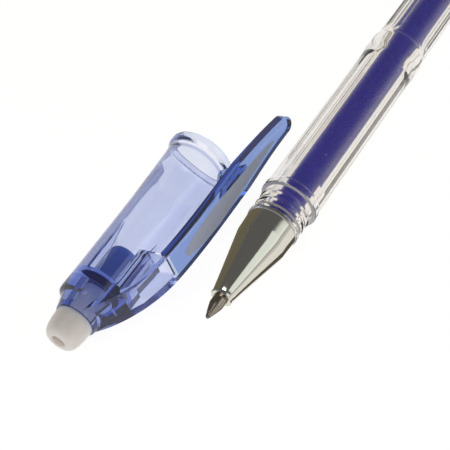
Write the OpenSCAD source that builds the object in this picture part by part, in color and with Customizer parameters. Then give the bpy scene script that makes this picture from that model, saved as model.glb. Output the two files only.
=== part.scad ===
// Capped gel pen with a clear barrel, a metal nose cone, a loose cap with a
// spring clip and an eraser plug. The pen lies along +X, its writing point at
// the origin and its axis on the X axis. The cap lies beside it at +Y, off the
// pen, parallel to it and with its mouth towards +X.

/* [Barrel] */
// Where the clear barrel starts, behind the nose cone
barrel_front = 20.9; // [20.5:0.1:21.1]
// Where the clear barrel ends
barrel_end = 137.5; // [132:0.5:142]
// Radius of the grip
grip_r = 5.1; // [5.0:0.05:5.2]
// Radius of the swell between the grip and the rear section
swell_r = 5.3; // [5.2:0.05:5.5]
// Radius of the rear section
rear_r = 4.95; // [4.85:0.05:5.05]
// Radius of the bore that holds the refill
barrel_bore_r = 3.7; // [3.6:0.05:3.8]
// How many flats run round the barrel
flat_count = 4; // [4:1:8]
// How deep each flat of the grip is cut
grip_flat_depth = 0.12; // [0.08:0.01:0.2]
// How deep each flat of the rear section is cut
rear_flat_depth = 0.28; // [0.15:0.01:0.32]

/* [Nose cone] */
// Radius of the cone's small end, a rolled collar
collar_r = 1.95; // [1.8:0.05:2.1]
// Where the collar starts
collar_x = 4.4; // [4.2:0.1:4.6]
// Radius at the knee between the cone and its near-cylindrical skirt
knee_r = 4.42; // [4.3:0.02:4.5]
// Where the knee is
knee_x = 17.1; // [16:0.1:18]

/* [Refill] */
// Outer radius of the ink tube
tube_r = 2.5; // [2.4:0.05:2.6]
// Inner radius of the ink tube
tube_bore_r = 1.95; // [1.85:0.05:2.05]
// Where the ink tube ends
tube_end = 124; // [115:1:128]
// Where the ink meets the follower
ink_end = 104; // [60:1:106]
// Radius of the rolling ball
ball_r = 0.35; // [0.3:0.01:0.4]

/* [Cap] */
// How far beside the pen the loose cap lies
cap_y = 17.4; // [17:0.1:20]
// Height of the loose cap's axis above the pen's
cap_z = 0.9; // [0.8:0.1:1.2]
// Where the cap's mouth is
mouth_x = 27.3; // [27:0.1:27.6]
// Outer radius of the lip round the mouth
lip_r = 6.3; // [6.2:0.05:6.35]
// How far the clip is turned up from level, towards the pen
clip_turn = 23; // [10:1:25]
// Width of the clip
clip_w = 5.3; // [4.8:0.1:5.4]
// Thickness of the clip
clip_d = 1.7; // [1.6:0.1:2]
// Where the clip's spring arm leaves its root
clip_root_x = 3; // [2:0.5:4]

/* [Eraser] */
// Radius of the eraser where it leaves the cap
eraser_r = 3.3; // [3.2:0.05:3.4]
// How far the eraser stands out of the cap
eraser_out = 4.7; // [4.2:0.1:5.5]

/* [Hidden] */

// running clearance between pieces that slide on each other
gap = 0.05;
// a little more than enough, for cuts that run past a face
over = 1;

// barrel
rim_r = 4.78;           // bead round the barrel's open front end
neck_r = 4.6;           // neck that the cap snaps on
snap_r = 4.75;          // two rings on the neck
snap_x = [23.6, 25.2];
flange_r = 5.3;         // stop for the cap
flange_x = 26.7;
grip_x = [31.5, 61.5];  // the grip's flats, without their run-out
swell_x = [65.2, 67.8];
rear_x = [71.5, 115];   // the rear section's flats, without their run-out
post_x = 118;           // the round end that the cap is pushed on
post_r = 4.85;
skirt_len = 0.8;        // how far the nose cone sits in the barrel
skirt_r = 4.3;
cutter_r = 8;           // radius of the run-out at each end of a flat
flat_turn = 60;         // how far the first flat is turned from the top, towards -Y

// refill
holder_x = 7.4;
tube_x = 14;
ink_x = 18;
follower_len = 6;
point_r = 1.2;          // radius of the point behind its cone
shoulder_x = 2.9;
lip_x = 0.42;           // the lip that holds the ball

// cap
shelf_x = -4;           // inner face of the cap's end wall
cup_len = 7;            // the seal cup that closes on the nose
cup_r = 2.6;
cup_bore_r = 2.05;
neck_end = -11.4;       // where the eraser leaves the cap
plug_r = 2.4;           // the eraser's plug
plug_x = -5.3;          // bottom of the plug's socket
gusset_t = 0.5;
gusset_count = 4;
clip_tip_x = 39.4;
clip_tip_r = 1.55;
clip_wall = 0.8;        // wall round the hollow in the clip's root

// Points along a cubic curve through its four control points.
function cubic(p, steps) = [for (i = [0 : steps]) let (t = i / steps, s = 1 - t)
    s * s * s * p[0] + 3 * s * s * t * p[1] + 3 * s * t * t * p[2] + t * t * t * p[3]];

// Outer face of the clip in its own plane, as [x, height above the cap's axis].
clip_back = cubic([[neck_end + 0.15, 2.0], [-10.3, 4.2], [-5.4, 9.7], [clip_root_x, 10.54]], 24);
clip_front = cubic([[clip_root_x, 10.54], [15, 11.75], [29, 10.12], [clip_tip_x, 11.58]], 24);

// A solid turned about the X axis from an outline of [radius, x] points.
module turned(outline) {
    rotate([0, 90, 0])
        rotate_extrude($fn = 96) polygon(outline);
}

// A shaft along the X axis.
module rod(r, from, to) {
    translate([from, 0, 0]) rotate([0, 90, 0]) cylinder(r = r, h = to - from, $fn = 96);
}

// Puts a shape made about the X axis where the loose cap lies.
module at_cap() {
    translate([0, cap_y, cap_z]) children();
}

// Turns a shape made in the XZ plane to the clip's side of the cap.
module at_clip() {
    at_cap() rotate([90 - clip_turn, 0, 0]) children();
}

// One flat's cutter: a straight floor with a round run-out at each end.
module flat_cutter(r, span, depth) {
    floor_z = r - depth;
    rotate([90, 0, 0])
        linear_extrude(height = 2 * r, center = true)
            union() {
                translate([span[0], floor_z]) square([span[1] - span[0], cutter_r]);
                for (x = span)
                    translate([x, floor_z + cutter_r]) circle(r = cutter_r, $fn = 96);
            }
}

module flats(r, span, depth) {
    for (i = [0 : flat_count - 1])
        rotate([flat_turn + i * 360 / flat_count, 0, 0]) flat_cutter(r, span, depth);
}

// Outline of one snap ring on the neck, as [radius, x] points.
function snap_ring(x) = [[neck_r, x - 0.45], [snap_r, x - 0.12], [snap_r, x + 0.12], [neck_r, x + 0.45]];

module barrel() {
    color([0.93, 0.92, 0.90, 0.45])
    difference() {
        turned(concat(
            [[skirt_r + gap, barrel_front], [rim_r - 0.2, barrel_front], [rim_r, barrel_front + 0.3],
             [rim_r, barrel_front + 0.9], [neck_r, barrel_front + 1.2]],
            snap_ring(snap_x[0]), snap_ring(snap_x[1]),
            [[neck_r, flange_x], [flange_r, flange_x + 0.2], [flange_r, flange_x + 1.2],
             [grip_r, flange_x + 1.7], [grip_r, swell_x[0] - 2.4], [swell_r, swell_x[0]],
             [swell_r, swell_x[1]], [rear_r, swell_x[1] + 1.7], [rear_r, post_x - 1], [post_r, post_x],
             [post_r, barrel_end - 0.4], [post_r - 0.4, barrel_end], [barrel_bore_r, barrel_end],
             [barrel_bore_r, barrel_front + skirt_len + 1], [skirt_r + gap, barrel_front + skirt_len + 1]]));
        flats(grip_r, grip_x, grip_flat_depth);
        flats(rear_r, rear_x, rear_flat_depth);
    }
}

module rear_plug() {
    color([0.16, 0.22, 0.55])
    difference() {
        turned([[0, barrel_end - 8], [barrel_bore_r - gap - 0.3, barrel_end - 8],
                [barrel_bore_r - gap, barrel_end - 7.6], [barrel_bore_r - gap, barrel_end + gap],
                [post_r - 0.1, barrel_end + gap], [post_r - 0.1, barrel_end + 1.6],
                [4.1, barrel_end + 3.0], [2.6, barrel_end + 3.8], [0, barrel_end + 4]]);
        rod(2.6, barrel_end - 8 - over, barrel_end - 1);
    }
}

module nose_cone() {
    color([0.75, 0.74, 0.70])
    turned([[point_r + gap, collar_x], [collar_r - 0.12, collar_x], [collar_r, collar_x + 0.12],
            [collar_r, collar_x + 0.5], [collar_r - 0.14, collar_x + 0.62], [collar_r, collar_x + 0.85],
            [knee_r, knee_x], [rim_r - 0.18, barrel_front - gap], [skirt_r, barrel_front - gap],
            [skirt_r, barrel_front + skirt_len], [3.6, barrel_front + skirt_len],
            [3.6, knee_x], [1.95, 7.2], [point_r + gap, 7.0]]);
}

module refill_tube() {
    color([0.80, 0.82, 0.90, 0.6])
    turned([[tube_bore_r, tube_x], [tube_r, tube_x], [tube_r, tube_end - 0.2],
            [tube_r - 0.2, tube_end], [tube_bore_r, tube_end]]);
}

module ink_column() {
    color([0.16, 0.15, 0.45])
    rod(tube_bore_r, ink_x, ink_end);
}

module ink_follower() {
    color([0.85, 0.80, 0.60, 0.7])
    turned([[0, ink_end], [tube_bore_r - gap, ink_end], [tube_bore_r - gap, ink_end + follower_len],
            [0, ink_end + follower_len - 0.6]]);
}

module tip_holder() {
    color([0.88, 0.88, 0.86])
    turned([[0.9, holder_x], [1.55, holder_x], [1.75, holder_x + 0.4], [1.75, tube_x - 1.8],
            [tube_r, tube_x - 1.2], [tube_r, tube_x], [tube_bore_r, tube_x], [tube_bore_r, ink_x - 0.4],
            [tube_bore_r - 0.4, ink_x], [0.5, ink_x], [0.5, holder_x + 3], [0.9, holder_x + 3]]);
}

module tip_body() {
    color([0.45, 0.41, 0.37])
    difference() {
        turned([[0, lip_x], [0.42, lip_x], [0.60, 1.0], [0.66, 1.05], [point_r - 0.06, shoulder_x - 0.25],
                [point_r, shoulder_x], [point_r, holder_x - gap], [0.9, holder_x - gap],
                [0.9, holder_x + 3], [0, holder_x + 3]]);
        // socket that the ball turns in, and the ink channel behind it
        rod(ball_r + 0.02, lip_x - over, ball_r + 0.05);
        translate([ball_r, 0, 0]) sphere(r = ball_r + 0.03, $fn = 64);
        rod(0.2, 0.5, holder_x + 3 + over);
    }
}

module ball() {
    color([0.7, 0.7, 0.72])
    translate([ball_r, 0, 0]) sphere(r = ball_r, $fn = 64);
}

// A fin on the cap's inner wall that fades out towards the mouth.
module gusset() {
    rotate([90, 0, 0])
        linear_extrude(height = gusset_t, center = true)
            polygon([[shelf_x - 0.3, cup_r + 0.15], [shelf_x + 2.2, cup_r + 0.15], [7, 4.7], [shelf_x - 0.3, 4.7]]);
}

// The clip's bar below its outer face, before its plan is cut.
module clip_section(face) {
    inner = [for (i = [len(face) - 1 : -1 : 0]) face[i] - [0, clip_d]];
    rotate([90, 0, 0])
        linear_extrude(height = clip_w, center = true) polygon(concat(face, inner));
}

// The clip's plan: straight sides that narrow to a round tip.
module clip_plan() {
    linear_extrude(height = 14)
        union() {
            translate([clip_tip_x - clip_tip_r, 0]) circle(r = clip_tip_r, $fn = 64);
            polygon([[clip_root_x, -clip_w / 2], [25, -clip_w / 2], [clip_tip_x - clip_tip_r, -clip_tip_r],
                     [clip_tip_x - clip_tip_r, clip_tip_r], [25, clip_w / 2], [clip_root_x, clip_w / 2]]);
        }
}

module cap_shell() {
    color([0.55, 0.60, 0.90, 0.5]) {
        difference() {
            union() {
                at_cap() turned([[0, neck_end], [3.6, neck_end], [4.35, -8.9], [5.05, -8.5], [5.15, -8.2],
                    [5.15, -5], [5.3, 13], [5.75, mouth_x - 1.9], [lip_r - 0.1, mouth_x - 1.4],
                    [lip_r, mouth_x - 1.1], [lip_r, mouth_x - 0.2], [lip_r - 0.2, mouth_x], [0, mouth_x]]);
                // root that the clip's arm springs from
                at_clip() difference() {
                    rotate([90, 0, 0]) linear_extrude(height = clip_w, center = true)
                        polygon(concat(clip_back, [[clip_root_x, 4.6], [neck_end + 0.15, 1.2]]));
                    // hollow under the root's outer wall
                    rotate([90, 0, 0]) linear_extrude(height = clip_w - 2 * clip_wall, center = true)
                        polygon([[-5.5, 6.2], [-3.8, 7.9], [clip_root_x + over, 9.6], [clip_root_x + over, 6.2]]);
                }
            }
            // bore, from the mouth's counterbore to the end wall
            at_cap() turned([[0, shelf_x], [4.45, shelf_x], [4.6, 8], [4.75, 20], [5.0, 20.4], [5.0, 24.6],
                [5.6, 25], [5.6, mouth_x + over], [0, mouth_x + over]]);
            at_cap() rod(plug_r + gap, neck_end - over, plug_x);
        }
        intersection() {
            at_cap() for (i = [0 : gusset_count - 1])
                rotate([64 + i * 360 / gusset_count, 0, 0]) gusset();
            at_cap() rod(4.7, shelf_x - 0.3, 8);
        }
    }
}

module inner_seal() {
    color([0.05, 0.32, 0.70])
    at_cap() turned([[0, shelf_x], [cup_r, shelf_x], [cup_r, shelf_x + cup_len - 0.5],
        [cup_r - 0.3, shelf_x + cup_len], [cup_bore_r + 0.1, shelf_x + cup_len],
        [cup_bore_r, shelf_x + cup_len - 0.6], [cup_bore_r, shelf_x + 1.2], [0, shelf_x + 1.2]]);
}

module clip_arm() {
    color([0.35, 0.45, 0.85, 0.6])
    at_clip()
    intersection() {
        union() {
            clip_section(clip_front);
            // pad under the arm that grips a pocket against the cap
            rotate([90, 0, 0]) linear_extrude(height = 1.6, center = true)
                polygon([[17, 9.8], [23.4, 6.3], [24.4, 6.3], [27, 9.6]]);
        }
        clip_plan();
    }
}

module eraser() {
    color([0.86, 0.85, 0.84, 0.9])
    at_cap() difference() {
        turned([[0, neck_end - eraser_out], [1.8, neck_end - eraser_out], [2.4, neck_end - eraser_out + 0.2],
                [2.8, neck_end - eraser_out + 0.7], [3.05, neck_end - eraser_out + 1.5],
                [eraser_r - 0.05, neck_end - eraser_out + 3], [eraser_r, neck_end - gap], [plug_r, neck_end - gap],
                [plug_r, plug_x - 0.8], [plug_r - 0.4, plug_x - 0.3], [0, plug_x - 0.3]]);
        rod(1.25, neck_end - eraser_out - over, neck_end - eraser_out + 4);
    }
}

barrel();
rear_plug();
nose_cone();
refill_tube();
ink_column();
ink_follower();
tip_holder();
tip_body();
ball();
cap_shell();
inner_seal();
clip_arm();
eraser();
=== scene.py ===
"""A capped gel pen with its cap off and lying beside it: finishes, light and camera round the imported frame.

Lengths are in millimetres where a name ends in _MM, and in metres everywhere else.
"""
import math

import bmesh
import bpy
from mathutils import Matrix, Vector


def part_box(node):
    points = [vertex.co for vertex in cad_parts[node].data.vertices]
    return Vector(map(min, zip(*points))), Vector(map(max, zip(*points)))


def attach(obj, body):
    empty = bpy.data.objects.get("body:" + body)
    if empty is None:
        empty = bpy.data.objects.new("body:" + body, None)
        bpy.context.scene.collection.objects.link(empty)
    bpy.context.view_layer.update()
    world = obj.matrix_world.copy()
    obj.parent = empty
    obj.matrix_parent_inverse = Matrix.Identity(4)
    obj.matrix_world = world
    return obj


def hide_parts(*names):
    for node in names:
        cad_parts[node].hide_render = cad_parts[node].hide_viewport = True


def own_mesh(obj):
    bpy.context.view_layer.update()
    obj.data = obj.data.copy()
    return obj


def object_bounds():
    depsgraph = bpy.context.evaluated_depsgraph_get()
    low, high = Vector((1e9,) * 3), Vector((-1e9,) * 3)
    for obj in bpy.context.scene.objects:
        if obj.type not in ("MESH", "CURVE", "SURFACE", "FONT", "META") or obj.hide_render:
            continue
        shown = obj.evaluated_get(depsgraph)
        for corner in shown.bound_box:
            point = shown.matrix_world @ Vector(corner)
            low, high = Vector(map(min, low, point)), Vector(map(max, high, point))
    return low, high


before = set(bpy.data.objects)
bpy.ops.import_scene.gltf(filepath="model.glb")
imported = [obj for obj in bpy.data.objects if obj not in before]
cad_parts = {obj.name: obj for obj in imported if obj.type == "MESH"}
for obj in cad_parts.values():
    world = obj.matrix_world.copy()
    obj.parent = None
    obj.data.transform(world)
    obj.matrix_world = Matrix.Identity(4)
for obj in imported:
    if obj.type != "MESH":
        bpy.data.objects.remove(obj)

cad_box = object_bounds()
MM = 0.001


# ---------------------------------------------------------------- colours and nodes

def linear(hex_colour, alpha=1.0):
    """An sRGB hex colour as the linear colour that shaders work in."""
    channels = [int(hex_colour[i:i + 2], 16) / 255 for i in (1, 3, 5)]
    return tuple(c / 12.92 if c <= 0.04045 else ((c + 0.055) / 1.055) ** 2.4 for c in channels) + (alpha,)


def add(tree, kind, settings=None, **inputs):
    """Adds a node. settings are its properties. inputs are its sockets, by name (_ for a space) or as i0, i1.

    A socket given as an input is linked, and any other value is set.
    """
    node = tree.nodes.new(kind)
    for key, value in (settings or {}).items():
        setattr(node, key, value)
    for key, value in inputs.items():
        numbered = key[0] == "i" and key[1:].isdigit()
        socket = node.inputs[int(key[1:]) if numbered else key.replace("_", " ")]
        if isinstance(value, bpy.types.NodeSocket):
            tree.links.new(value, socket)
        else:
            socket.default_value = value
    return node


def new_material(name):
    """An empty node material with its output, its tree and its Object coordinates."""
    material = bpy.data.materials.new(name)
    material.use_nodes = True
    tree = material.node_tree
    tree.nodes.clear()
    output = add(tree, "ShaderNodeOutputMaterial")
    place = add(tree, "ShaderNodeTexCoord").outputs["Object"]
    return material, tree, output, place


def see_through(tree, output, shader, tint):
    """Lets lamps through a clear plastic as a thin tinted pane would, so that its shadow stays light."""
    path = add(tree, "ShaderNodeLightPath")
    pane = add(tree, "ShaderNodeBsdfTransparent", Color=linear(tint))
    mixed = add(tree, "ShaderNodeMixShader", i0=path.outputs["Is Shadow Ray"],
                i1=shader.outputs[0], i2=pane.outputs[0])
    tree.links.new(mixed.outputs[0], output.inputs["Surface"])


# ---------------------------------------------------------------- finishes

FLOW_MM = 2.5          # spacing of the faint waves that plastic leaves as it fills a mould
LATHE_MM = 0.12        # spacing of turning marks, drawn a little coarse so that they show
GRAIN_MM = 0.10        # grain of the eraser's matt skin and of the barrel's matt end faces
LATHE_RUN_MM = 25.0    # how far a turning mark runs round the cone before it changes
PORE_MM = 0.08         # pores of the ground ball, drawn coarse so that they show
CLOUD_MM = 2.0         # lighter and darker places in the ink
DRAWN_MM = 1 / 3       # spacing of the lines that drawing leaves along the refill's tube
CLIP_ROOT_X_MM = 3     # where the clip's arm leaves its root
CLIP_ROOT_Y_MM = 11.2  # the arm's end lies nearer to the pen than this
JOINT_MM = 0.01        # how near a face lies to that place to count as part of the joint


def clear_polystyrene():
    """Crystal polystyrene, injection moulded and polished: grey lines at its edges, darkened by painted shade
    on cards that only bent light sees, and a warm cast.
    """
    material, tree, output, place = new_material("clear_polystyrene")
    # the plastic flowed along the barrel, so its faint waves are long
    along = add(tree, "ShaderNodeMapping", Vector=place, Scale=(0.12, 1.0, 1.0))
    flow = add(tree, "ShaderNodeTexNoise", Vector=along.outputs[0], Scale=1 / (FLOW_MM * MM), Detail=1.0)
    rough = add(tree, "ShaderNodeMapRange", Value=flow.outputs["Fac"], To_Min=0.01, To_Max=0.04)
    bump = add(tree, "ShaderNodeBump", Height=flow.outputs["Fac"], Strength=0.03, Distance=0.05 * MM)
    shader = add(tree, "ShaderNodeBsdfPrincipled", Base_Color=linear("#faf7f3"), Roughness=rough.outputs[0],
                 IOR=1.52, Transmission_Weight=0.99, Normal=bump.outputs[0])
    see_through(tree, output, shader, "#f6f3ee")
    body = add(tree, "ShaderNodeVolumeAbsorption", Color=linear("#cdcac8"), Density=70.0)
    tree.links.new(body.outputs[0], output.inputs["Volume"])
    return material


def matt_shoulder():
    """The barrel's narrow end faces, which the mould leaves matt, so that they look light grey."""
    material, tree, output, place = new_material("matt_polystyrene")
    grain = add(tree, "ShaderNodeTexNoise", Vector=place, Scale=1 / (GRAIN_MM * MM), Detail=2.0)
    rough = add(tree, "ShaderNodeMapRange", Value=grain.outputs["Fac"], To_Min=0.35, To_Max=0.55)
    shader = add(tree, "ShaderNodeBsdfPrincipled", Base_Color=linear("#dcdadf"), Roughness=rough.outputs[0],
                 IOR=1.52, Transmission_Weight=0.35)
    see_through(tree, output, shader, "#e6e4e6")
    return material


def tinted_polystyrene(name, dye, density):
    """Blue-tinted crystal polystyrene: pale lavender where thin, deep blue where light runs along a wall."""
    material, tree, output, place = new_material(name)
    flow = add(tree, "ShaderNodeTexNoise", Vector=place, Scale=1 / (FLOW_MM * MM), Detail=1.0)
    bump = add(tree, "ShaderNodeBump", Height=flow.outputs["Fac"], Strength=0.06, Distance=0.05 * MM)
    shader = add(tree, "ShaderNodeBsdfPrincipled", Base_Color=linear("#f7f8ff"), Roughness=0.025,
                 IOR=1.5, Transmission_Weight=0.97, Normal=bump.outputs[0])
    # cap and clip are one moulding, so no surface shows where the clip's arm leaves its root
    spot = add(tree, "ShaderNodeSeparateXYZ", Vector=place)
    at_root = add(tree, "ShaderNodeMath", {"operation": "COMPARE"}, i0=spot.outputs["X"],
                  i1=CLIP_ROOT_X_MM * MM, i2=JOINT_MM * MM)
    beside = add(tree, "ShaderNodeMath", {"operation": "LESS_THAN"}, i0=spot.outputs["Y"],
                 i1=CLIP_ROOT_Y_MM * MM)
    joint = add(tree, "ShaderNodeMath", {"operation": "MULTIPLY"}, i0=at_root.outputs[0],
                i1=beside.outputs[0])
    open_way = add(tree, "ShaderNodeBsdfTransparent")
    shader = add(tree, "ShaderNodeMixShader", i0=joint.outputs[0], i1=shader.outputs[0],
                 i2=open_way.outputs[0])
    see_through(tree, output, shader, "#dfe2f6")
    body = add(tree, "ShaderNodeVolumeAbsorption", Color=linear(dye), Density=density)
    tree.links.new(body.outputs[0], output.inputs["Volume"])
    return material


def plated_brass():
    """Nickel-plated brass, turned and polished: sharp bright bands, dark bands that are painted reflections of
    cards beside it, and a faint warm cast.
    """
    material, tree, output, place = new_material("nickel_plated_brass")
    # the marks run round the cone, so they are close along the pen and long across it
    run = LATHE_MM / LATHE_RUN_MM
    squeezed = add(tree, "ShaderNodeMapping", Vector=place, Scale=(1.0, run, run))
    marks = add(tree, "ShaderNodeTexNoise", Vector=squeezed.outputs[0], Scale=1 / (LATHE_MM * MM), Detail=2.0)
    rough = add(tree, "ShaderNodeMapRange", Value=marks.outputs["Fac"], To_Min=0.07, To_Max=0.16)
    bump = add(tree, "ShaderNodeBump", Height=marks.outputs["Fac"], Strength=0.12, Distance=0.004 * MM)
    shader = add(tree, "ShaderNodeBsdfPrincipled", Base_Color=linear("#d6d2c8"), Metallic=1.0,
                 Roughness=rough.outputs[0], Normal=bump.outputs[0])
    tree.links.new(shader.outputs[0], output.inputs["Surface"])
    return material


def turned_steel():
    """Stainless steel point, turned on a lathe: brownish grey with rings, drawn twice as coarse to show."""
    material, tree, output, place = new_material("turned_stainless_steel")
    x = add(tree, "ShaderNodeSeparateXYZ", Vector=place).outputs["X"]
    turns = add(tree, "ShaderNodeMath", {"operation": "MULTIPLY"}, i0=x, i1=2 * math.pi / (LATHE_MM * 2 * MM))
    wave = add(tree, "ShaderNodeMath", {"operation": "SINE"}, i0=turns.outputs[0])
    rough = add(tree, "ShaderNodeMapRange", Value=wave.outputs[0], From_Min=-1.0, To_Min=0.16, To_Max=0.30)
    bump = add(tree, "ShaderNodeBump", Height=wave.outputs[0], Strength=0.35, Distance=0.006 * MM)
    shader = add(tree, "ShaderNodeBsdfPrincipled", Base_Color=linear("#9a8f84"), Metallic=1.0,
                 Roughness=rough.outputs[0], Normal=bump.outputs[0])
    tree.links.new(shader.outputs[0], output.inputs["Surface"])
    return material


def ground_carbide():
    """Tungsten carbide ball, ground to a grey mirror with a film of ink left in its pores."""
    material, tree, output, place = new_material("ground_tungsten_carbide")
    pores = add(tree, "ShaderNodeTexNoise", Vector=place, Scale=1 / (PORE_MM * MM), Detail=2.0)
    colour = add(tree, "ShaderNodeMix", {"data_type": "RGBA"}, i0=pores.outputs["Fac"],
                 i6=linear("#8d8d93"), i7=linear("#5c5a6e"))
    shader = add(tree, "ShaderNodeBsdfPrincipled", Base_Color=colour.outputs[2], Metallic=1.0, Roughness=0.18)
    tree.links.new(shader.outputs[0], output.inputs["Surface"])
    return material


def gel_ink():
    """Indigo gel ink seen through its tube: dark and even, a little lighter where it has thinned."""
    material, tree, output, place = new_material("indigo_gel_ink")
    stretched = add(tree, "ShaderNodeMapping", Vector=place, Scale=(0.18, 1.0, 1.0))
    cloud = add(tree, "ShaderNodeTexNoise", Vector=stretched.outputs[0], Scale=1 / (CLOUD_MM * MM), Detail=3.0)
    colour = add(tree, "ShaderNodeMix", {"data_type": "RGBA"}, i0=cloud.outputs["Fac"],
                 i6=linear("#2317b8"), i7=linear("#382bd4"))
    shader = add(tree, "ShaderNodeBsdfPrincipled", Base_Color=colour.outputs[2], Roughness=0.35,
                 IOR=1.38, Subsurface_Weight=0.15, Subsurface_Radius=(0.2, 0.2, 0.6),
                 Subsurface_Scale=0.5 * MM)
    tree.links.new(shader.outputs[0], output.inputs["Surface"])
    return material


def refill_polypropylene():
    """Extruded polypropylene tube: clear but slightly cloudy, with faint draw lines along it."""
    material, tree, output, place = new_material("extruded_polypropylene")
    drawn = add(tree, "ShaderNodeMapping", Vector=place, Scale=(0.02, 1.0, 1.0))
    lines = add(tree, "ShaderNodeTexNoise", Vector=drawn.outputs[0], Scale=1 / (DRAWN_MM * MM), Detail=1.0)
    rough = add(tree, "ShaderNodeMapRange", Value=lines.outputs["Fac"], To_Min=0.08, To_Max=0.16)
    shader = add(tree, "ShaderNodeBsdfPrincipled", Base_Color=linear("#f4f3f2"), Roughness=rough.outputs[0],
                 IOR=1.49, Transmission_Weight=1.0)
    see_through(tree, output, shader, "#ecebea")
    return material


def moulded_plastic(name, dark, light, roughness):
    """Opaque moulded plastic with the slight mottle and dull-to-bright patches of a tool's surface."""
    material, tree, output, place = new_material(name)
    mottle = add(tree, "ShaderNodeTexNoise", Vector=place, Scale=1 / (0.8 * MM), Detail=3.0)
    colour = add(tree, "ShaderNodeMix", {"data_type": "RGBA"}, i0=mottle.outputs["Fac"],
                 i6=linear(dark), i7=linear(light))
    rough = add(tree, "ShaderNodeMapRange", Value=mottle.outputs["Fac"],
                To_Min=roughness * 0.8, To_Max=roughness * 1.2)
    bump = add(tree, "ShaderNodeBump", Height=mottle.outputs["Fac"], Strength=0.1, Distance=0.01 * MM)
    shader = add(tree, "ShaderNodeBsdfPrincipled", Base_Color=colour.outputs[2], Roughness=rough.outputs[0],
                 IOR=1.49, Normal=bump.outputs[0])
    tree.links.new(shader.outputs[0], output.inputs["Surface"])
    return material


def seal_polypropylene():
    """Blue polypropylene cup: saturated and half clear, so it glows against the pale cap."""
    material, tree, output, place = new_material("blue_polypropylene")
    mottle = add(tree, "ShaderNodeTexNoise", Vector=place, Scale=1 / (1.5 * MM), Detail=2.0)
    colour = add(tree, "ShaderNodeMix", {"data_type": "RGBA"}, i0=mottle.outputs["Fac"],
                 i6=linear("#0a4fa8"), i7=linear("#1468c8"))
    shader = add(tree, "ShaderNodeBsdfPrincipled", Base_Color=colour.outputs[2], Roughness=0.25,
                 IOR=1.49, Transmission_Weight=0.55)
    see_through(tree, output, shader, "#4f86cf")
    return material


def milky_elastomer():
    """Thermoplastic elastomer, matt and milky: light sinks in and comes back warm and soft."""
    material, tree, output, place = new_material("milky_elastomer")
    grain = add(tree, "ShaderNodeTexNoise", Vector=place, Scale=1 / (GRAIN_MM * MM), Detail=3.0)
    cloud = add(tree, "ShaderNodeTexNoise", Vector=place, Scale=1 / (2.0 * MM), Detail=2.0)
    colour = add(tree, "ShaderNodeMix", {"data_type": "RGBA"}, i0=cloud.outputs["Fac"],
                 i6=linear("#e5dcd6"), i7=linear("#f3ebe6"))
    bump = add(tree, "ShaderNodeBump", Height=grain.outputs["Fac"], Strength=0.25, Distance=0.02 * MM)
    shader = add(tree, "ShaderNodeBsdfPrincipled", Base_Color=colour.outputs[2], Roughness=0.5, IOR=1.45,
                 Subsurface_Weight=0.8, Subsurface_Radius=(1.0, 0.9, 0.8), Subsurface_Scale=2.5 * MM,
                 Transmission_Weight=0.12, Normal=bump.outputs[0])
    tree.links.new(shader.outputs[0], output.inputs["Surface"])
    return material


def follower_grease():
    """Clear silicone grease with a yellow cast."""
    material, tree, output, place = new_material("silicone_grease")
    cloud = add(tree, "ShaderNodeTexNoise", Vector=place, Scale=1 / (1.0 * MM), Detail=2.0)
    colour = add(tree, "ShaderNodeMix", {"data_type": "RGBA"}, i0=cloud.outputs["Fac"],
                 i6=linear("#d8c68c"), i7=linear("#e8dcae"))
    shader = add(tree, "ShaderNodeBsdfPrincipled", Base_Color=colour.outputs[2], Roughness=0.3, IOR=1.4,
                 Transmission_Weight=0.5)
    see_through(tree, output, shader, "#e8dcae")
    return material


# ---------------------------------------------------------------- how pieces are made

SAME_MM = 0.0005       # corners nearer than this are one corner


def set_down(name, mesh, body, stands_for=None):
    """Puts a mesh in the scene as a piece that rides on a body, and in a CAD node's place if one is named."""
    piece = bpy.data.objects.new(name, mesh)
    bpy.context.scene.collection.objects.link(piece)
    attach(piece, body)
    if stands_for:
        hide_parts(stands_for)
    return piece


def finished(node, body, material, sharp_degrees=32):
    """A merged, smooth copy of a CAD node that stands for it, because the node is loose flat triangles."""
    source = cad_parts[node]
    mesh = source.data.copy()
    mesh.name = node + "_skin"
    # the import's own normals belong to the loose triangles, so they go before the merge
    if "custom_normal" in mesh.attributes:
        mesh.attributes.remove(mesh.attributes["custom_normal"])
    merged = bmesh.new()
    merged.from_mesh(mesh)
    bmesh.ops.remove_doubles(merged, verts=merged.verts, dist=SAME_MM * MM)
    bmesh.ops.dissolve_degenerate(merged, edges=merged.edges, dist=SAME_MM * MM)
    merged.to_mesh(mesh)
    merged.free()
    mesh.shade_smooth()
    mesh.set_sharp_from_angle(angle=math.radians(sharp_degrees))
    mesh.materials.clear()
    mesh.materials.append(material)
    set_down(node + "_skin", mesh, body, node)


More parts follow.
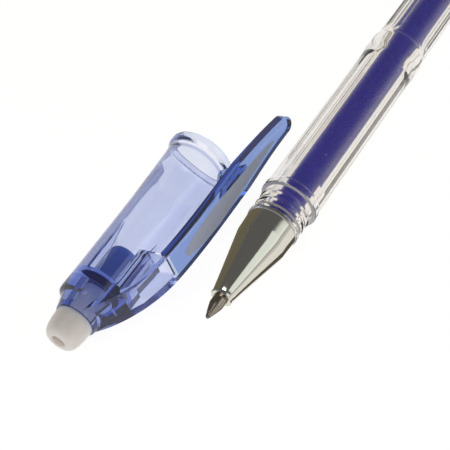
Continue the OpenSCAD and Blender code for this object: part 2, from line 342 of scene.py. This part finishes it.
def turned(name, outline_mm, body, material, stands_for, segments=96, closed=False, cut=None,
           sharp_degrees=40, shoulders=None):
    """A solid turned about the pen's axis from an outline of (radius, x) points, in millimetres.

    The outline ends on the axis, or is closed round a bore. cut(radius, x, angle) may take the radius in.
    shoulders is a second material, for the faces that look more or less along the axis.
    """
    mesh = bpy.data.meshes.new(name)
    spun = bmesh.new()
    rings = []
    turns = [2 * math.pi * i / segments for i in range(segments)]
    for radius, x in outline_mm:
        if radius == 0:
            rings.append([spun.verts.new((x * MM, 0, 0))])
            continue
        ring = [(t, cut(radius, x, t) if cut else radius) for t in turns]
        rings.append([spun.verts.new((x * MM, r * MM * math.cos(t), r * MM * math.sin(t))) for t, r in ring])
    if closed:
        rings.append(rings[0])
    for near, far in zip(rings, rings[1:]):
        for i in range(segments):
            k = (i + 1) % segments
            corners = [near[i % len(near)], near[k % len(near)], far[k % len(far)], far[i % len(far)]]
            spun.faces.new(list(dict.fromkeys(corners)))
    bmesh.ops.recalc_face_normals(spun, faces=spun.faces)
    spun.to_mesh(mesh)
    spun.free()
    mesh.shade_smooth()
    mesh.set_sharp_from_angle(angle=math.radians(sharp_degrees))
    mesh.materials.append(material)
    if shoulders:
        along_axis = 0.75
        mesh.materials.append(shoulders)
        for face in mesh.polygons:
            face.material_index = int(abs(face.normal.x) > along_axis)
    return set_down(name, mesh, body, stands_for)


# ---------------------------------------------------------------- the barrel

# Radii, and places along the pen, as part.scad has them.
RIM_MM, NECK_MM, SNAP_MM, FLANGE_MM, GRIP_MM = 4.78, 4.6, 4.75, 5.3, 5.1
SWELL_MM, REAR_MM, POST_MM, BORE_MM, RECESS_MM = 5.3, 4.95, 4.85, 3.7, 4.35
FRONT_X_MM, RECESS_X_MM, POST_X_MM, END_X_MM = 20.9, 22.7, 118, 137.5
RIM_END_X_MM, SNAP_RINGS_X_MM, FLANGE_X_MM, GRIP_X_MM = 21.8, (23.6, 25.2), (26.7, 27.9), 28.4
SWELL_RISES_X_MM, SWELL_FALLS_X_MM = (62.8, 65.2), (67.8, 69.5)
GRIP_FLATS_X_MM, REAR_FLATS_X_MM = (31.5, 61.5), (71.5, 115.0)
FLATS, FLAT_TURN = 4, math.radians(60)
GRIP_FLAT_MM, REAR_FLAT_MM, RUN_OUT_MM = 0.12, 0.28, 8.0


def flat_floor(radius, x, span, depth):
    """Distance from the axis to the floor of a flat that is cut round a radius, with round run-outs."""
    beyond = max(span[0] - x, x - span[1], 0.0)
    if beyond >= RUN_OUT_MM:
        return math.inf
    return radius - depth + RUN_OUT_MM - math.sqrt(RUN_OUT_MM ** 2 - beyond ** 2)


def faceted(radius, x, angle):
    """The barrel's radius at a place, with the flats of its grip and of its rear section cut in."""
    if radius <= RECESS_MM:
        return radius
    for base, span, depth in ((GRIP_MM, GRIP_FLATS_X_MM, GRIP_FLAT_MM),
                              (REAR_MM, REAR_FLATS_X_MM, REAR_FLAT_MM)):
        # a flat's middle stands at its turn from +Z, about +X
        step = 2 * math.pi / FLATS
        off = (angle - math.pi / 2 - FLAT_TURN + step / 2) % step - step / 2
        radius = min(radius, flat_floor(base, x, span, depth) / math.cos(off))
    return radius


def even(radius, start, end, steps):
    """Rings of one radius at even steps, with both ends."""
    return [(radius, start + (end - start) * i / steps) for i in range(steps + 1)]


def eased(near, far, span, steps=8):
    """Rings whose radius goes from near to far along half a cosine wave."""
    return [(near + (far - near) * (0.5 - 0.5 * math.cos(math.pi * i / steps)),
             span[0] + (span[1] - span[0]) * i / steps) for i in range(steps + 1)]


def snap_ring(x):
    """A snap ring round the neck: a low ridge with a rounded top."""
    half_foot, half_top, rounding = 0.45, 0.15, 0.05
    return [(NECK_MM, x - half_foot), (SNAP_MM - rounding, x - half_top), (SNAP_MM, x),
            (SNAP_MM - rounding, x + half_top), (NECK_MM, x + half_foot)]


def barrel_outline():
    """The barrel's closed outline, with close rings where the flats run out and round the swell."""
    before_grip, before_rear, after_rear = 2.4, 1.9, 2.0
    rim = [(RECESS_MM, FRONT_X_MM), (RIM_MM - 0.2, FRONT_X_MM), (RIM_MM - 0.06, FRONT_X_MM + 0.08),
           (RIM_MM, FRONT_X_MM + 0.3), (RIM_MM, RIM_END_X_MM), (NECK_MM, RIM_END_X_MM + 0.3)]
    snaps = [spot for x in SNAP_RINGS_X_MM for spot in snap_ring(x)]
    flange = [(NECK_MM, FLANGE_X_MM[0]), (FLANGE_MM - 0.05, FLANGE_X_MM[0] + 0.08),
              (FLANGE_MM, FLANGE_X_MM[0] + 0.2), (FLANGE_MM, FLANGE_X_MM[1]), (GRIP_MM, GRIP_X_MM)]
    start, stop = GRIP_FLATS_X_MM
    grip = even(GRIP_MM, start - before_grip, start, 8) + even(GRIP_MM, start, stop, 10)[1:]
    grip += even(GRIP_MM, stop, SWELL_RISES_X_MM[0], 5)[1:5]
    top = (SWELL_RISES_X_MM[1] + SWELL_FALLS_X_MM[0]) / 2
    swell = eased(GRIP_MM, SWELL_MM, SWELL_RISES_X_MM) + [(SWELL_MM, top)]
    swell += eased(SWELL_MM, REAR_MM, SWELL_FALLS_X_MM)
    start, stop = REAR_FLATS_X_MM
    rear = even(REAR_MM, start - before_rear, start, 8) + even(REAR_MM, start, stop, 12)[1:]
    rear += even(REAR_MM, stop, stop + after_rear, 8)[1:]
    post = [(POST_MM, POST_X_MM), (POST_MM, END_X_MM - 0.4), (POST_MM - 0.12, END_X_MM - 0.12),
            (POST_MM - 0.4, END_X_MM)]
    bore = even(BORE_MM, END_X_MM, RECESS_X_MM, 20) + [(RECESS_MM, RECESS_X_MM)]
    return rim + snaps + flange + grip + swell + rear + post + bore


# ---------------------------------------------------------------- the ink


def ink_outline():
    """The ink's outline: it wets the tube's wall, so it is a hair wider than the bore, with a hollow end."""
    wetting, hollow = 0.006, 0.02
    low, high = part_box("ink_column")
    start, end, radius = low[0] / MM, high[0] / MM, high[2] / MM + wetting
    return [(0, start), (radius, start), (radius, end), (radius * 0.8, end - hollow), (0, end - hollow)]


# ---------------------------------------------------------------- the panel on the clip

# The loose cap's axis and the clip's outer face, as part.scad has them.
CAP_Y_MM, CAP_Z_MM, CLIP_TURN = 17.4, 0.9, math.radians(23)
CLIP_FACE_MM = [(CLIP_ROOT_X_MM, 10.54), (15, 11.75), (29, 10.12), (39.4, 11.58)]
# the panel's two ends, how far its middle line is off the clip's, half its width and half its thickness
PANEL_X_MM, PANEL_OFF_MM, PANEL_HALF_MM, PANEL_LIFT_MM = (5.6, 34.4), -0.25, 1.7, 0.02
WIDEST = 0.35          # the share of its length at which the panel is widest


def clip_face(t):
    """A point on the clip's outer face as (x, height above the cap's axis), t running from 0 to 1."""
    s = 1 - t
    weights = (s ** 3, 3 * s * s * t, 3 * s * t * t, t ** 3)
    return [sum(w * p[k] for w, p in zip(weights, CLIP_FACE_MM)) for k in (0, 1)]


def at_clip(x, height, across):
    """A place on the clip in the shared frame."""
    out = Vector((0, -math.cos(CLIP_TURN), math.sin(CLIP_TURN)))
    side = Vector((0, math.sin(CLIP_TURN), math.cos(CLIP_TURN)))
    return (Vector((x, CAP_Y_MM, CAP_Z_MM)) + height * out + across * side) * MM


def panel_half_width(share):
    """Half the panel's width at a share of its length: a round rear end, and a long taper to the front."""
    rear = (1 - (1 - min(share / WIDEST, 1)) ** 2) ** 0.5
    front = (1 - max(share - WIDEST, 0) / (1 - WIDEST)) ** 0.6
    return PANEL_HALF_MM * rear * front


def clip_print(material):
    """The plain grey panel printed on the clip's face: a long lens with nothing on it."""
    steps, across = 60, 8
    grid = bmesh.new()
    layers = []
    start, end = PANEL_X_MM
    for lift in (PANEL_LIFT_MM, -PANEL_LIFT_MM):
        rows = []
        for i in range(steps + 1):
            x, height = clip_face(i / steps)
            share = (x - start) / (end - start)
            if 0 < share < 1:
                half = panel_half_width(share)
                places = [PANEL_OFF_MM + half * (2 * k / across - 1) for k in range(across + 1)]
                rows.append([grid.verts.new(at_clip(x, height + lift, place)) for place in places])
        layers.append(rows)
    top, under = layers
    for i in range(len(top) - 1):
        for k in range(across):
            grid.faces.new([top[i][k], top[i][k + 1], top[i + 1][k + 1], top[i + 1][k]])
            grid.faces.new([under[i][k], under[i + 1][k], under[i + 1][k + 1], under[i][k + 1]])
        for k in (0, across):
            grid.faces.new([top[i][k], top[i + 1][k], under[i + 1][k], under[i][k]])
    for last in (0, -1):
        for k in range(across):
            grid.faces.new([top[last][k], top[last][k + 1], under[last][k + 1], under[last][k]])
    bmesh.ops.recalc_face_normals(grid, faces=grid.faces)
    mesh = bpy.data.meshes.new("clip_print")
    grid.to_mesh(mesh)
    grid.free()
    mesh.shade_smooth()
    mesh.set_sharp_from_angle(angle=math.radians(40))
    mesh.materials.append(material)
    set_down("clip_print", mesh, "clip")


def printed_ink():
    """Grey pad-printed ink on the clip: thin, satin, with a little of the blue plastic showing through."""
    material, tree, output, place = new_material("grey_pad_print")
    patch = add(tree, "ShaderNodeTexNoise", Vector=place, Scale=1 / (1.2 * MM), Detail=3.0)
    colour = add(tree, "ShaderNodeMix", {"data_type": "RGBA"}, i0=patch.outputs["Fac"],
                 i6=linear("#b4b8cc"), i7=linear("#c6c9d8"))
    shader = add(tree, "ShaderNodeBsdfPrincipled", Base_Color=colour.outputs[2], Roughness=0.4, IOR=1.48,
                 Transmission_Weight=0.12)
    see_through(tree, output, shader, "#b2b6cc")
    return material


# ---------------------------------------------------------------- air in the ink

def bubbles(material):
    """Small air bubbles that cling to the tube's wall along the ink, scattered over it by Geometry Nodes."""
    low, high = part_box("ink_column")
    tree = bpy.data.node_groups.new("scatter_bubbles", "GeometryNodeTree")
    for name, kind, value in (("Count per Metre Squared", "NodeSocketFloat", 30000.0),
                              ("Smallest Radius", "NodeSocketFloat", 0.035 * MM),
                              ("Largest Radius", "NodeSocketFloat", 0.11 * MM), ("Seed", "NodeSocketInt", 7)):
        socket = tree.interface.new_socket(name, in_out="INPUT", socket_type=kind)
        socket.default_value = value
    tree.interface.new_socket("Bubbles", in_out="OUTPUT", socket_type="NodeSocketGeometry")
    given = add(tree, "NodeGroupInput").outputs
    # the wall that the bubbles cling to, open at both ends and a little inside the ink
    inset, share = 0.02 * MM, 0.96
    wall = add(tree, "GeometryNodeMeshCylinder", {"fill_type": "NONE"}, Vertices=48, Side_Segments=24,
               Radius=high[2] - inset, Depth=(high[0] - low[0]) * share)
    laid = add(tree, "GeometryNodeTransform", Geometry=wall.outputs["Mesh"], Rotation=(0, math.pi / 2, 0),
               Translation=((low[0] + high[0]) / 2, 0, 0))
    spots = add(tree, "GeometryNodeDistributePointsOnFaces", Mesh=laid.outputs[0],
                Density=given["Count per Metre Squared"], Seed=given["Seed"])
    ball = add(tree, "GeometryNodeMeshIcoSphere", Radius=1.0, Subdivisions=2)
    size = add(tree, "FunctionNodeRandomValue", {"data_type": "FLOAT"}, i2=given["Smallest Radius"],
               i3=given["Largest Radius"], Seed=given["Seed"])
    copies = add(tree, "GeometryNodeInstanceOnPoints", Points=spots.outputs["Points"],
                 Instance=ball.outputs["Mesh"], Scale=size.outputs[1])
    real = add(tree, "GeometryNodeRealizeInstances", Geometry=copies.outputs[0])
    smooth = add(tree, "GeometryNodeSetShadeSmooth", Geometry=real.outputs[0])
    skin = add(tree, "GeometryNodeSetMaterial", Geometry=smooth.outputs[0], Material=material)
    end = add(tree, "NodeGroupOutput")
    tree.links.new(skin.outputs[0], end.inputs["Bubbles"])
    piece = bpy.data.objects.new("ink_bubbles", bpy.data.meshes.new("ink_bubbles_base"))
    bpy.context.scene.collection.objects.link(piece)
    piece.modifiers.new("scatter", "NODES").node_group = tree
    shown = piece.evaluated_get(bpy.context.evaluated_depsgraph_get())
    mesh = bpy.data.meshes.new_from_object(shown)
    piece.modifiers.clear()
    mesh.name = "ink_bubbles"
    piece.data = mesh
    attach(piece, "refill")
    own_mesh(piece)


def bubble_painted_highlight():
    """The skin of an air bubble in ink, drawn as an opaque, glossy speck whose pale colour is a painted
    highlight for the light the air throws back.
    """
    material, tree, output, place = new_material("bubble_painted_highlight")
    cloud = add(tree, "ShaderNodeTexNoise", Vector=place, Scale=1 / (0.3 * MM), Detail=1.0)
    # these pale colours are the bubble's painted highlight
    colour = add(tree, "ShaderNodeMix", {"data_type": "RGBA"}, i0=cloud.outputs["Fac"],
                 i6=linear("#8f8cc8"), i7=linear("#e6e4f6"))
    shader = add(tree, "ShaderNodeBsdfPrincipled", Base_Color=colour.outputs[2], Roughness=0.1, IOR=1.4)
    tree.links.new(shader.outputs[0], output.inputs["Surface"])
    return material


# ---------------------------------------------------------------- the pieces

# the clip is the cap's plastic drawn in a deeper, denser tint: painted shade for the light that has run
# further along the plastic
blue_cap_plastic = tinted_polystyrene("tinted_polystyrene_cap", "#2a80da", 230.0)
clip_plastic_painted_deeper = tinted_polystyrene("tinted_polystyrene_clip_painted_shade", "#1c8edc", 680.0)

turned("barrel_skin", barrel_outline(), "pen", clear_polystyrene(), "barrel",
       segments=240, closed=True, cut=faceted, sharp_degrees=11, shoulders=matt_shoulder())
finished("rear_plug", "plug", moulded_plastic("blue_polystyrene", "#1b2372", "#232e88", 0.2))
finished("nose_cone", "nose", plated_brass())
finished("refill_tube", "refill", refill_polypropylene())
ink = turned("ink_skin", ink_outline(), "refill", gel_ink(), "ink_column")
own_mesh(ink)
finished("tip_holder", "refill", moulded_plastic("white_acetal", "#dcdcd8", "#ececea", 0.35))
finished("tip_body", "refill", turned_steel())
finished("ball", "ball", ground_carbide(), 60)
finished("ink_follower", "follower", follower_grease())
finished("cap_shell", "cap", blue_cap_plastic)
finished("inner_seal", "cap", seal_polypropylene())
# the clip's deeper tint is painted shade
finished("clip_arm", "clip", clip_plastic_painted_deeper)
finished("eraser", "eraser", milky_elastomer(), 50)
clip_print(printed_ink())
# the bubbles' pale colour is a painted highlight
bubbles(bubble_painted_highlight())


# ---------------------------------------------------------------- stage, light and camera

def softbox(name, place_mm, aim_mm, size_mm, watts, colour="#ffffff"):
    """A rectangular lamp at a place, facing a point."""
    lamp = bpy.data.lights.new(name, "AREA")
    lamp.shape = "RECTANGLE"
    lamp.size = size_mm[0] * MM
    lamp.size_y = size_mm[1] * MM
    lamp.energy = watts
    lamp.color = linear(colour)[:3]
    stand = bpy.data.objects.new(name, lamp)
    stand.location = Vector(place_mm) * MM
    stand.rotation_euler = (Vector(aim_mm) - Vector(place_mm)).to_track_quat("-Z", "Y").to_euler()
    bpy.context.scene.collection.objects.link(stand)


floor_z = cad_box[0][2]
floor_mesh = bpy.data.meshes.new("paper_floor")
half = 1.5               # half the floor's side
floor_mesh.from_pydata([(-half, -half, floor_z), (half, -half, floor_z), (half, half, floor_z),
                        (-half, half, floor_z)], [], [(0, 1, 2, 3)])
floor = bpy.data.objects.new("paper_floor", floor_mesh)
bpy.context.scene.collection.objects.link(floor)
paper, tree, output, _ = new_material("white_paper")
sheet = add(tree, "ShaderNodeBsdfDiffuse", Color=linear("#8c8c8c"))
glow = add(tree, "ShaderNodeEmission", Color=linear("#fffefc"), Strength=0.90)
both = add(tree, "ShaderNodeAddShader", i0=sheet.outputs[0], i1=glow.outputs[0])
tree.links.new(both.outputs[0], output.inputs["Surface"])
floor_mesh.materials.append(paper)

world = bpy.data.worlds.new("studio")
bpy.context.scene.world = world
world.use_nodes = True
# bright round the horizon, so that edges of clear plastic stay light, and dim overhead, against veiling
sky = world.node_tree
heading = add(sky, "ShaderNodeTexCoord").outputs["Generated"]
up = add(sky, "ShaderNodeSeparateXYZ", Vector=heading).outputs["Z"]
band = add(sky, "ShaderNodeMapRange", {"interpolation_type": "SMOOTHSTEP"},
           Value=up, From_Min=0.05, From_Max=0.50, To_Min=0.70, To_Max=0.13)
sky.nodes["Background"].inputs["Color"].default_value = linear("#ffffff")
sky.links.new(band.outputs[0], sky.nodes["Background"].inputs["Strength"])


def painted_card(name, low_mm, high_mm, colour, through=False):
    """A flat card of plain colour between two opposite corners, which agree in y or in z.

    Its colour glows and is painted: a painted reflection, which only reflections see, or with through, painted
    shade, which only light that clear plastic has bent sees.
    """
    (x, y, z), (far_x, far_y, far_z) = low_mm, high_mm
    corners = [(x, y, z), (far_x, y, z), (far_x, far_y, far_z), (x, far_y, far_z)]
    mesh = bpy.data.meshes.new(name)
    mesh.from_pydata([tuple(Vector(corner) * MM) for corner in corners], [], [(0, 1, 2, 3)])
    card = bpy.data.objects.new(name, mesh)
    bpy.context.scene.collection.objects.link(card)
    material, tree, output, _ = new_material(name)
    # the card's glowing colour is the painted reflection or painted shade
    plain = add(tree, "ShaderNodeEmission", Color=linear(colour))
    tree.links.new(plain.outputs[0], output.inputs["Surface"])
    mesh.materials.append(material)
    card.visible_camera = card.visible_diffuse = False
    card.visible_glossy, card.visible_transmission = not through, through
    card.visible_shadow = card.visible_volume_scatter = False


# these stand close to the nose cone, beside it and under its other side, so that it alone is dark there: a
# painted dark reflection beside it, and under it the painted shadow of its contact with the floor, which only
# reflections see
painted_card("painted_reflection_dark_side", (2, 6.2, -3.2), (29.5, 6.2, 6.3), "#746f5c")
painted_card("painted_shadow_dark_edge", (-2, -10.5, -5.3), (29.5, -5.0, -5.3), "#5c584c")
# these lie along the barrel and stand behind the cap, and paint the darker lines near their edges: painted
# shade that only light bent by the clear plastic sees
painted_card("painted_shade_barrel_edge", (29, -7.4, -5.2), (140, -5.4, -5.2), "#77736d", True)
painted_card("painted_shade_barrel_far_edge", (40, 8.4, -5.2), (140, 10.6, -5.2), "#8a857d", True)
painted_card("painted_shade_cap_edge", (-12, 26.5, -5.3), (33, 26.5, 5.0), "#9094b4", True)

MIDDLE_MM = (30, 5, 0)
softbox("behind_camera", (-220, 40, 420), MIDDLE_MM, (300, 300), 0.7)
# the long bright band in the nose cone is this lamp
softbox("band", (74, -316, 240), (10, 0, 0), (300, 290), 0.27, "#f0faf5")

CAMERA_MM = (-95.25, -60.07, 174.49)
CAMERA_LOOK = Vector((0.5164, 0.3071, -0.7994))
eye = bpy.data.cameras.new("camera")
eye.lens = 104.0
eye.sensor_width = 36.0
eye.clip_start = 0.01
camera = bpy.data.objects.new("camera", eye)
camera.location = Vector(CAMERA_MM) * MM
camera.rotation_euler = CAMERA_LOOK.to_track_quat("-Z", "Y").to_euler()
bpy.context.scene.collection.objects.link(camera)
bpy.context.scene.camera = camera
bpy.context.scene.view_settings.view_transform = "Standard"
# light crosses many clear walls one behind another
BOUNCES = 32
bpy.context.scene.cycles.max_bounces = BOUNCES
bpy.context.scene.cycles.transmission_bounces = BOUNCES
bpy.context.scene.cycles.transparent_max_bounces = BOUNCES
